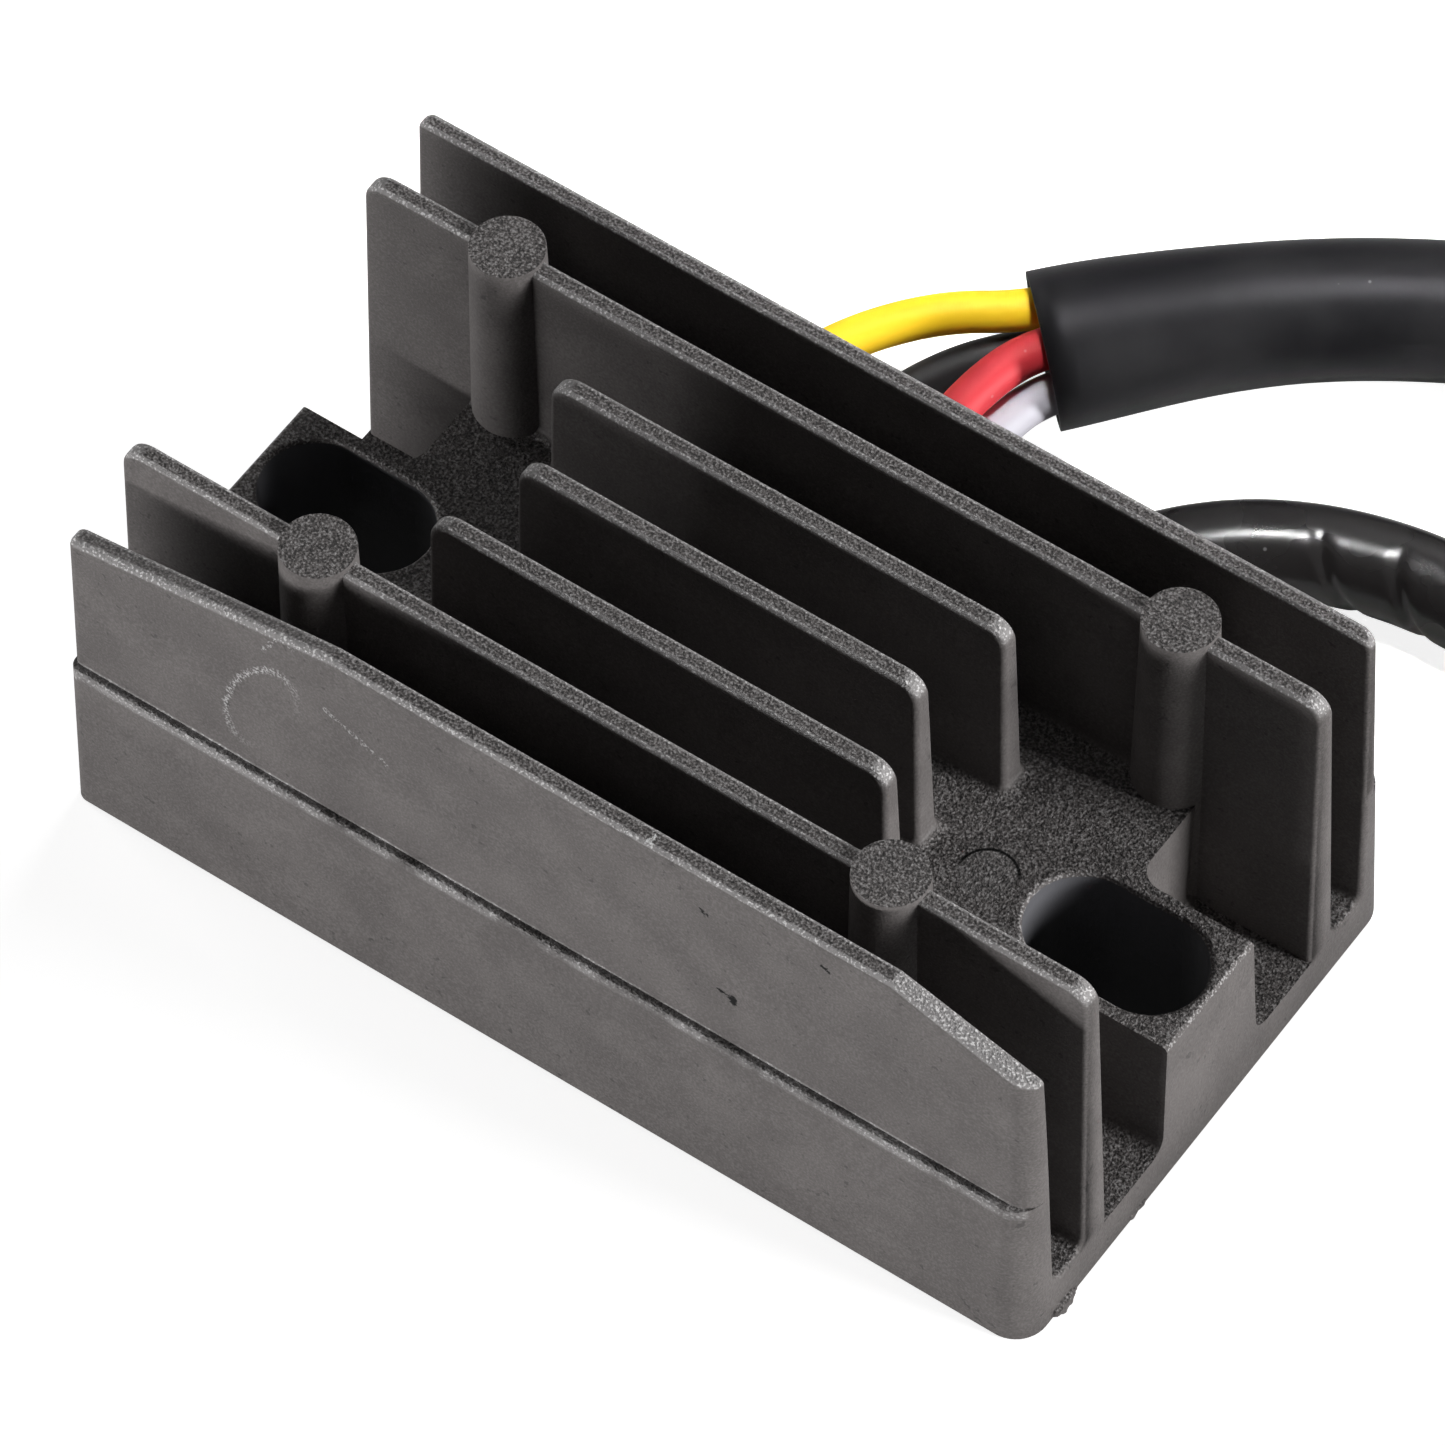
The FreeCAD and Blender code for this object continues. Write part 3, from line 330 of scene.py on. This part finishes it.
def round_fin_ends():
    """The normals of the fins' right ends, turned as if their front edges were well rounded."""
    group, _, result = new_group("round_fin_ends", (), (("Normal", "Vector"),))
    texture = group.nodes.new("ShaderNodeTexCoord")
    normal = texture.outputs["Normal"]
    x, y, z = split(group, texture.outputs["Object"])
    slope = split(group, normal)
    deep = calc(group, "ABSOLUTE", y)
    outer = calc(group, "GREATER_THAN", deep, (INNER_FIN + OUTER_FIN) / 2)
    middle = product(group, calc(group, "SIGN", y),
                     scaled(group, outer, OUTER_FIN - INNER_FIN, INNER_FIN))
    ahead = calc(group, "SUBTRACT", calc(group, "ADD", middle, EDGE_START), y)
    turn = product(group, calc(group, "MULTIPLY", ahead, 1 / EDGE_WIDTH, True), EDGE_TURN)
    turned = join(group, calc(group, "COSINE", turn),
                  product(group, calc(group, "SINE", turn), -1.0), 0.0)
    above_floor = calc(group, "SUBTRACT", z, product(group, outer, 0.0105))
    end = where(group, (x, 0.0338, 0.0341), (slope[0], 0.7, 0.95), (deep, 0.0109, 0.0111),
                (above_floor, 0.0028, 0.0040))
    shift = stretch(group, vector_calc(group, "SUBTRACT", turned, normal), end)
    return put_out(group, result, Normal=vector_calc(
        group, "NORMALIZE", vector_calc(group, "ADD", normal, shift)))


CAST_SKIN, MARKS, FIN_ENDS = cast_skin(), marks_and_shade(), round_fin_ends()


def cast(name, relief, **colours):
    """A die-cast finish over the shared skin."""
    material = bpy.data.materials.new(name)
    material.use_nodes = True
    tree = material.node_tree
    skin = add_node(tree, "ShaderNodeGroup", node_tree=CAST_SKIN)
    for socket, colour in colours.items():
        skin.inputs[socket].default_value = (*colour, 1)
    shader = tree.nodes["Principled BSDF"]
    shader.inputs["Specular IOR Level"].default_value = 0.22
    marks = add_node(tree, "ShaderNodeGroup", node_tree=MARKS)
    ends = add_node(tree, "ShaderNodeGroup", node_tree=FIN_ENDS)
    bump = add_node(tree, "ShaderNodeBump", {"Strength": 1.0, "Distance": relief,
                                             "Height": skin.outputs["Height"],
                                             "Normal": ends.outputs["Normal"]})
    # Painted shade from the marks first, then the chalk and the fleck
    colour = blend(tree, marks.outputs["Dark"], skin.outputs["Color"], MARK_SHADE_COLOUR)
    colour = blend(tree, marks.outputs["Light"], colour, CHALK_COLOUR)
    tree.links.new(colour, shader.inputs["Base Color"])
    tree.links.new(skin.outputs["Roughness"], shader.inputs["Roughness"])
    tree.links.new(bump.outputs["Normal"], shader.inputs["Normal"])
    return material


def paint(name, material):
    """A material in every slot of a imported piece."""
    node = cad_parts[name]
    node.data.materials.clear()
    node.data.materials.append(material)


# The brightest colour serves both the rubbed wear and the painted glints and highlights
coating = cast("dark_coating", 0.00016, Dark=(0.112, 0.103, 0.101), Light=(0.142, 0.131, 0.128),
               Rubbed=(0.62, 0.61, 0.61), Slot=(0.12, 0.12, 0.13))
paint("heat_sink", coating)

# Flash: thin lumps of metal that squeezed out between the die halves and were left on the lower
# right edge of the casting when it was trimmed.
FLASH = (("flash_front", (0.03520, -0.0157, 0.00035), (0.00045, 0.0014, 0.00045)),
         ("flash_back", (0.03510, -0.0079, 0.00025), (0.00032, 0.0011, 0.00030)))
RAGGEDNESS, RAGGED_SCALE, JUST_ABOVE_FLOOR = 0.45, 1800.0, 0.00002
for name, centre, reach in FLASH:
    bpy.ops.mesh.primitive_ico_sphere_add(subdivisions=4, radius=1.0, enter_editmode=True)
    bpy.ops.mesh.select_all(action="SELECT")
    bpy.ops.transform.resize(value=reach, center_override=(0, 0, 0))
    bpy.ops.transform.translate(value=centre)
    bpy.ops.object.mode_set(mode="OBJECT")
    lump = bpy.context.object
    lump.name = name
    for vertex in lump.data.vertices:
        ragged = 1.0 + RAGGEDNESS * turbulence(vertex.co * RAGGED_SCALE, 3, False)
        vertex.co = Vector(centre) + (vertex.co - Vector(centre)) * ragged
        vertex.co.z = max(vertex.co.z, JUST_ABOVE_FLOOR)
    for face in lump.data.polygons:
        face.use_smooth = True
    lump.data.materials.append(coating)
    lump.select_set(False)
    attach(lump, "root")

# Inside the heat sink: a ceramic substrate with its dies, a small control board and bent copper
# lugs, all cast into black epoxy resin. Only the resin's face shows, from below and in the outlet.


def plastic_skin():
    """Moulded or extruded plastic: fine grain, patchy gloss and a few specks of dust."""
    group, given, result = new_group(
        "plastic_skin",
        (("Base", "Color", (0.5, 0.5, 0.5, 1)), ("Dust", "Color", (0.6, 0.6, 0.6, 1)),
         ("Dust Amount", "Float", 0.2), ("Roughness", "Float", 0.4), ("Grain", "Float", 900.0)),
        (("Color", "Color"), ("Roughness", "Float"), ("Height", "Float")))
    place = group.nodes.new("ShaderNodeTexCoord").outputs["Object"]
    grain = noise(group, place, given.outputs["Grain"], 4.0)
    patches = noise(group, place, 120.0, 3.0)
    cells = add_node(group, "ShaderNodeTexVoronoi", {"Vector": place, "Scale": 650.0})
    chance = add_node(group, "ShaderNodeSeparateColor", {0: cells.outputs["Color"]}).outputs[0]
    dots = where(group, (cells.outputs["Distance"], 0.10, 0.04), (chance, 0.80, 0.86))
    dust = product(group, dots, given.outputs["Dust Amount"])
    film = product(group, ease(group, patches, 0.3, 0.75), given.outputs["Dust Amount"], 0.06)
    colour = blend(group, film, given.outputs["Base"], given.outputs["Dust"])
    colour = blend(group, dust, colour, given.outputs["Dust"])
    rough = calc(group, "ADD", given.outputs["Roughness"], scaled(group, patches, 0.12, -0.06))
    rough = calc(group, "ADD", rough, product(group, dust, 0.4), True)
    return put_out(group, result, Color=colour, Roughness=rough,
                   Height=calc(group, "ADD", grain, dust))


PLASTIC_SKIN = plastic_skin()


def plastic(name, base, roughness, dust=0.2, grain=900.0, relief=0.00002, **constants):
    """A smooth material of one colour over the shared skin."""
    material = bpy.data.materials.new(name)
    material.use_nodes = True
    tree = material.node_tree
    skin = add_node(tree, "ShaderNodeGroup", node_tree=PLASTIC_SKIN)
    for socket, value in (("Base", (*base, 1)), ("Dust Amount", dust), ("Roughness", roughness),
                          ("Grain", grain)):
        skin.inputs[socket].default_value = value
    shader = tree.nodes["Principled BSDF"]
    bump = add_node(tree, "ShaderNodeBump", {"Strength": 1.0, "Distance": relief,
                                             "Height": skin.outputs["Height"]})
    tree.links.new(skin.outputs["Color"], shader.inputs["Base Color"])
    tree.links.new(skin.outputs["Roughness"], shader.inputs["Roughness"])
    tree.links.new(bump.outputs["Normal"], shader.inputs["Normal"])
    for socket, value in constants.items():
        shader.inputs[socket.replace("_", " ")].default_value = value
    return material


moulded_epoxy = plastic("moulded_epoxy", (0.02, 0.02, 0.022), 0.5)
brass = plastic("stamped_brass", (0.72, 0.50, 0.18), 0.30, dust=0.1, grain=2500.0, Metallic=1.0)
INNER_FINISHES = (
    ("resin", plastic("potting_resin", (0.012, 0.012, 0.013), 0.22, dust=0.25, grain=300.0,
                      relief=0.00006)),
    ("substrate", plastic("substrate_ceramic", (0.78, 0.77, 0.73), 0.5, grain=2000.0)),
    ("die_", plastic("silicon", (0.07, 0.075, 0.09), 0.15)),
    ("control_board", plastic("solder_mask", (0.02, 0.14, 0.05), 0.3)),
    ("regulator_chip", moulded_epoxy),
    ("resistor_", moulded_epoxy),
    ("capacitor", plastic("drawn_can", (0.7, 0.7, 0.72), 0.28, Metallic=1.0)),
    ("board_pin_", brass),
    ("lug_", plastic("bent_copper", (0.72, 0.33, 0.19), 0.32, Metallic=1.0)))
for start, finish in INNER_FINISHES:
    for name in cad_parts:
        if name.startswith(start):
            paint(name, finish)

# The four wires of the main loom: stranded copper in thin satin vinyl. They come out of the resin
# under the back wall, lift off the floor and gather into the mouth of the sleeve.
WIRE = 0.0027
FRONT_WIRES = (
    ("yellow", (1.0, 0.66, 0.018), 0.0375,
     ((-16.5, 13.5, 4.1), (-16.5, 20.8, 4.1), (-15.8, 27.8, 4.9), (-13.9, 32.6, 5.6),
      (-10.0, 37.6, 5.85), (-5.24, 40.84, 5.75), (-1.38, 45.44, 5.75))),
    ("black", (0.012, 0.012, 0.013), 0.0343,
     ((-10.5, 13.5, 4.1), (-10.5, 20.8, 4.1), (-10.2, 29.0, 3.6), (-8.3, 35.8, 3.2),
      (-4.70, 40.39, 3.05), (-0.85, 44.99, 3.05))),
    ("red", (0.54, 0.030, 0.040), 0.0318,
     ((-5.2, 13.5, 4.1), (-5.2, 20.8, 4.1), (-5.0, 28.5, 5.6), (-4.45, 34.6, 6.4),
      (-2.86, 38.85, 6.45), (0.99, 43.45, 6.45))),
    ("white", (0.46, 0.447, 0.495), 0.0302,
     ((-1.8, 13.5, 4.1), (-1.8, 20.8, 4.1), (-2.6, 26.8, 3.9), (-2.9, 32.4, 3.85),
      (-1.84, 37.72, 3.95), (2.22, 42.42, 3.85))),
)


def in_metres(points):
    """A route's points, which are listed in millimetres."""
    return [tuple(part / 1000 for part in point) for point in points]


def lay_route(name, route, radius=0.0):
    """A round cord along control points in metres, or a bare line."""
    line = bpy.data.curves.new(name, "CURVE")
    line.dimensions = "3D"
    line.bevel_depth = radius
    line.bevel_resolution = 10
    line.resolution_u = 24
    line.use_fill_caps = True
    spline = line.splines.new("NURBS")
    spline.points.add(len(route) - 1)
    for point, place in zip(spline.points, route):
        point.co = (*place, 1.0)
    spline.order_u = 3
    spline.use_endpoint_u = True
    cord = bpy.data.objects.new(name, line)
    bpy.context.scene.collection.objects.link(cord)
    return cord


def cord_piece(node, cord, material, route, length, diameter, **facts):
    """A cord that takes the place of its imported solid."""
    cord.data.materials.append(material)
    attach(cord, "root")
    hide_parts(node)


for colour, base, length, points in FRONT_WIRES:
    route = in_metres(points)
    wire = lay_route(f"{colour}_wire", route, WIRE / 2)
    vinyl = plastic(f"{colour}_vinyl", base, 0.55, dust=0.15, Specular_IOR_Level=0.28)
    cord_piece(f"wire_{colour}", wire, vinyl, route, length, WIRE, far_end="object",
               stiffness="limp")

# The sleeve of the main loom: soft matt vinyl tube, cut off and pushed over the four wires. It
# lies on the floor, a little wider and askew at its cut, and bends round behind the heat sink.
SLEEVE, SLEEVE_RADIUS, SLEEVE_WALL = 0.0094, 0.0045, 0.00045
SPLAY, SPLAY_LENGTH, ASKEW = 0.00065, 0.010, 0.138
SIDES = 64
SLEEVE_ROUTE = ((-3.4, 39.3, 4.75), (2.06, 45.81, 4.75), (11.5, 54.0, 4.75), (24.1, 60.8, 4.75),
                (37.8, 64.1, 4.75), (51.8, 63.8, 4.75), (65.2, 60.0, 4.75), (76.6, 53.6, 4.75))


def read_route(line):
    """The points that the spline of a bare line gives."""
    bpy.context.view_layer.update()
    live = line.evaluated_get(bpy.context.evaluated_depsgraph_get())
    bare = bpy.data.meshes.new_from_object(live)
    points = [vertex.co.copy() for vertex in bare.vertices]
    bpy.data.meshes.remove(bare)
    return points


def even_places(points, spacing):
    """The points of a line that come next after even distances, with both its ends."""
    places, walked = [points[0]], 0.0
    for start, end in zip(points, points[1:]):
        walked += (end - start).length
        if walked >= spacing * len(places):
            places.append(end)
    if (places[-1] - points[-1]).length < spacing * 0.5:
        places.pop()
    return places + [points[-1]]


def skin_tube(name, route, spacing, reach):
    """A mesh tube along a route: reach gives its radius from the distance along it, the angle
    round it and the height of the centre line."""
    line = lay_route(name + "_line", route)
    places = even_places(read_route(line), spacing)
    bpy.data.objects.remove(line)
    vertices, faces, along = [], [], 0.0
    for number, place in enumerate(places):
        before, after = places[max(number - 1, 0)], places[min(number + 1, len(places) - 1)]
        ahead = (after - before).normalized()
        left = Vector((0, 0, 1)).cross(ahead).normalized()
        upward = ahead.cross(left)
        along += (place - before).length
        for step in range(SIDES):
            angle = math.tau * step / SIDES
            ray = left * math.cos(angle) + upward * math.sin(angle)
            vertices.append(place + ray * reach(along, angle, place.z))
        if number:
            first = (number - 1) * SIDES
            for step in range(SIDES):
                beside = (step + 1) % SIDES
                faces.append((first + step, first + beside, first + SIDES + beside,
                              first + SIDES + step))
    shell = bpy.data.meshes.new(name)
    shell.from_pydata(vertices, [], faces)
    shell.update()
    tube = bpy.data.objects.new(name, shell)
    bpy.context.scene.collection.objects.link(tube)
    for face in shell.polygons:
        face.use_smooth = True
    return tube, [tuple(place) for place in places]


def thicken(piece, wall):
    """A wall of even thickness inside the surface, with its rims closed."""
    bpy.context.view_layer.objects.active = piece
    piece.select_set(True)
    shell = piece.modifiers.new("wall", "SOLIDIFY")
    shell.thickness, shell.offset = wall, -1.0
    bpy.ops.object.modifier_apply(modifier="wall")
    piece.select_set(False)


def on_floor(radius, angle, height):
    """A radius, cut short where it would reach below the floor."""
    return min(radius, height / max(-math.sin(angle), 0.01))


def sleeve_reach(along, angle, height):
    """The sleeve's radius: splayed at its cut mouth and flattened where it lies."""
    return on_floor(SLEEVE_RADIUS + SPLAY * math.exp(-(along / SPLAY_LENGTH) ** 2), angle, height)


route = in_metres(SLEEVE_ROUTE)
sleeve, sleeve_line = skin_tube("sleeve", route, 0.001, sleeve_reach)
ahead = (Vector(sleeve_line[1]) - Vector(sleeve_line[0])).normalized()
for vertex in sleeve.data.vertices[:SIDES]:
    vertex.co -= ahead * ASKEW * (vertex.co - Vector(sleeve_line[0])).dot(back)
thicken(sleeve, SLEEVE_WALL)
matt_vinyl = plastic("matt_vinyl", (0.0060, 0.0060, 0.0068), 0.44, dust=0.3, grain=1500.0,
                     relief=0.000012, Specular_IOR_Level=0.13,
                     Specular_Tint=(0.95, 0.92, 1.0, 1))
cord_piece("main_sleeve", sleeve, matt_vinyl, route, 0.0901, SLEEVE, far_end="object",
           stiffness="medium", path=sleeve_line)

# The short loom's tube: thin glossy vinyl over two wires, folded close to the wall, so that its
# inner side is creased there. It leaves the resin at the right of the outlet.
TUBE, TUBE_WALL = 0.0062, 0.00025
TUBE_ROUTE = ((8.5, 13.5, 4.1), (8.5, 20.8, 4.1), (8.9, 27.0, 3.5), (10.9, 31.1, 3.15),
              (15.0, 35.1, 3.15), (20.6, 37.9, 3.15), (27.4, 39.2, 3.15), (36.4, 38.4, 3.15),
              (47.2, 33.9, 3.15), (54.9, 27.1, 3.15))
CREASES = ((0.0300, 0.0005, 0.00032), (0.0352, 0.0005, 0.00034))
CREASE_SLANT = 0.0020


def tube_reach(along, angle, height):
    """The tube's radius, with creases across the inner side of its fold."""
    radius = TUBE / 2
    inner = max(0.0, -math.cos(angle)) ** 0.7
    for place, width, depth in CREASES:
        off = along - place + CREASE_SLANT * math.sin(angle)
        radius -= depth * inner * math.exp(-(off / width) ** 2)
    return on_floor(radius, angle, height)


route = in_metres(TUBE_ROUTE)
tube, tube_line = skin_tube("gloss_tube", route, 0.0003, tube_reach)
thicken(tube, TUBE_WALL)
gloss_vinyl = plastic("gloss_vinyl", (0.010, 0.009, 0.009), 0.27, dust=0.15, grain=700.0,
                      relief=0.000010, Specular_IOR_Level=0.4)
cord_piece("small_tube", tube, gloss_vinyl, route, 0.0686, TUBE, far_end="object",
           stiffness="limp", path=tube_line)

# The wires behind the picture's edge: the same stranded copper in vinyl comes out of the far ends
# of the sleeve and the tube again. It lies over to the two plugs beside the heat sink.
REAR_WIRES = (
    ("rear_wire_yellow", "yellow_vinyl", 0.0397,
     ((72.06, 57.78, 6.17), (79.04, 53.86, 6.17), (90.97, 42.12, 9.5), (96.27, 28.09, 9.5))),
    ("rear_wire_black", "black_vinyl", 0.0395,
     ((72.06, 57.78, 3.33), (79.04, 53.86, 3.33), (90.97, 42.12, 4.1), (96.27, 28.09, 4.1))),
    ("rear_wire_red", "red_vinyl", 0.0369,
     ((70.67, 55.3, 6.17), (77.65, 51.38, 6.17), (85.54, 40.07, 9.5), (90.84, 26.04, 9.5))),
    ("rear_wire_white", "white_vinyl", 0.0366,
     ((70.67, 55.3, 3.33), (77.65, 51.38, 3.33), (85.54, 40.07, 4.1), (90.84, 26.04, 4.1))),
    ("small_wire_1", "green_vinyl", 0.0379,
     ((52.09, 31.47, 3.15), (57.71, 26.51, 3.15), (68.97, 15.61, 4.0), (76.93, 3.13, 4.0))),
    ("small_wire_2", "brown_vinyl", 0.0368,
     ((50.21, 29.35, 3.15), (55.83, 24.38, 3.15), (64.08, 12.49, 4.0), (72.04, 0.01, 4.0))),
)
plastic("green_vinyl", (0.03, 0.22, 0.06), 0.34, dust=0.15)
plastic("brown_vinyl", (0.13, 0.045, 0.02), 0.34, dust=0.15)
for node, vinyl, length, points in REAR_WIRES:
    route = in_metres(points)
    wire = lay_route(node + "_lead", route, WIRE / 2)
    cord_piece(node, wire, bpy.data.materials[vinyl], route, length, WIRE, far_end="object",
               stiffness="limp")

# The plugs: natural nylon housings, each moulded in one piece with its latch arm and a little
# rounded at every edge, over stamped brass terminals. The wires end in them.
ROUNDING, ROUNDING_STEPS = 0.00045, 3
nylon = plastic("natural_nylon", (0.70, 0.67, 0.58), 0.42, dust=0.1, grain=1600.0)
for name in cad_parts:
    if "terminal" in name:
        paint(name, brass)
for node, name in (("main_connector", "main_plug"), ("small_connector", "small_plug")):
    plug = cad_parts[node].copy()
    plug.data = plug.data.copy()
    plug.name = name
    bpy.context.scene.collection.objects.link(plug)
    bpy.context.view_layer.objects.active = plug
    plug.select_set(True)
    bpy.ops.object.mode_set(mode="EDIT")
    bpy.ops.mesh.select_all(action="SELECT")
    bpy.ops.mesh.remove_doubles(threshold=0.000005)
    bpy.ops.mesh.dissolve_limited(angle_limit=math.radians(4.0))
    bpy.ops.object.mode_set(mode="OBJECT")
    rounding = plug.modifiers.new("rounding", "BEVEL")
    rounding.width, rounding.segments = ROUNDING, ROUNDING_STEPS
    rounding.limit_method, rounding.angle_limit = "ANGLE", math.radians(40.0)
    bpy.ops.object.modifier_apply(modifier="rounding")
    bpy.ops.object.shade_smooth_by_angle(angle=math.radians(35.0))
    plug.select_set(False)
    plug.data.materials.clear()
    plug.data.materials.append(nylon)
    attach(plug, "root")
    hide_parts(node)

# The studio: a pale table, a white surround and soft lamps. The table and the surround are white
# to the camera and to reflections, and plainer to everything else.
TABLE_SIZE, TABLE_HEIGHT, TABLE_GREY = 6.0, -0.0002, 0.6
LAMPS = (("front_box", 3.4, 0.25, 0.05, (-0.02, -1.0, 0.028)),
         ("left_front_box", 7.9, 1.0, 0.08, (-0.62, -0.78, 0.042)),
         ("left_box", 1.4, 0.3, 0.3, (-0.9, 0.12, 0.42)),
         ("right_box", 15.3, 0.3, 0.3, (1.0, 0.25, 0.28)),
         ("back_box", 3.4, 0.4, 0.4, (0.0, 0.75, 0.68)))


def studio_white(tree, seen, mirrored, plain):
    """White to the camera and through clear things, dimmer in reflections, plain to the rest."""
    path = tree.nodes.new("ShaderNodeLightPath").outputs
    direct = greatest(tree, path["Is Camera Ray"], path["Is Transmission Ray"])
    direct = product(tree, direct, seen - plain)
    reflected = product(tree, path["Is Glossy Ray"], mirrored - plain)
    return calc(tree, "ADD", calc(tree, "ADD", direct, reflected), plain)


def add_lamp(name, energy, width, height, place):
    """A rectangular lamp that shines straight down."""
    lamp = bpy.data.lights.new(name, "AREA")
    lamp.shape = "RECTANGLE"
    lamp.energy, lamp.size, lamp.size_y = energy, width, height
    holder = bpy.data.objects.new(name, lamp)
    holder.location = place
    bpy.context.scene.collection.objects.link(holder)
    return holder


world = bpy.data.worlds.new("surround")
bpy.context.scene.world = world
world.use_nodes = True
tree = world.node_tree
tree.nodes["Background"].inputs["Color"].default_value = (1, 1, 1, 1)
tree.links.new(studio_white(tree, seen=1.0, mirrored=0.18, plain=0.008),
               tree.nodes["Background"].inputs["Strength"])

bpy.ops.mesh.primitive_plane_add(size=TABLE_SIZE, location=(0, 0, TABLE_HEIGHT))
table = bpy.context.object
table.name = "table"
table.select_set(False)
paper = bpy.data.materials.new("paper")
paper.use_nodes = True
tree = paper.node_tree
shader = tree.nodes["Principled BSDF"]
shader.inputs["Base Color"].default_value = (TABLE_GREY, TABLE_GREY, TABLE_GREY, 1)
shader.inputs["Roughness"].default_value = 0.9
shader.inputs["Emission Color"].default_value = (1, 1, 1, 1)
tree.links.new(studio_white(tree, seen=0.86, mirrored=0.05, plain=0.0),
               shader.inputs["Emission Strength"])
table.data.materials.append(paper)

for name, energy, width, height, place in LAMPS:
    holder = add_lamp(name, energy, width, height, place)
    holder.rotation_euler = (-Vector(place)).to_track_quat("-Z", "Y").to_euler()

# A gridded strip lamp over the wires and sleeves, whose narrow beam misses the heat sink
strip = add_lamp("wire_strip", 0.029, 0.16, 0.03, (0.03, 0.051, 0.45))
strip.data.spread = math.radians(8.0)

bpy.context.scene.view_settings.view_transform = "Standard"
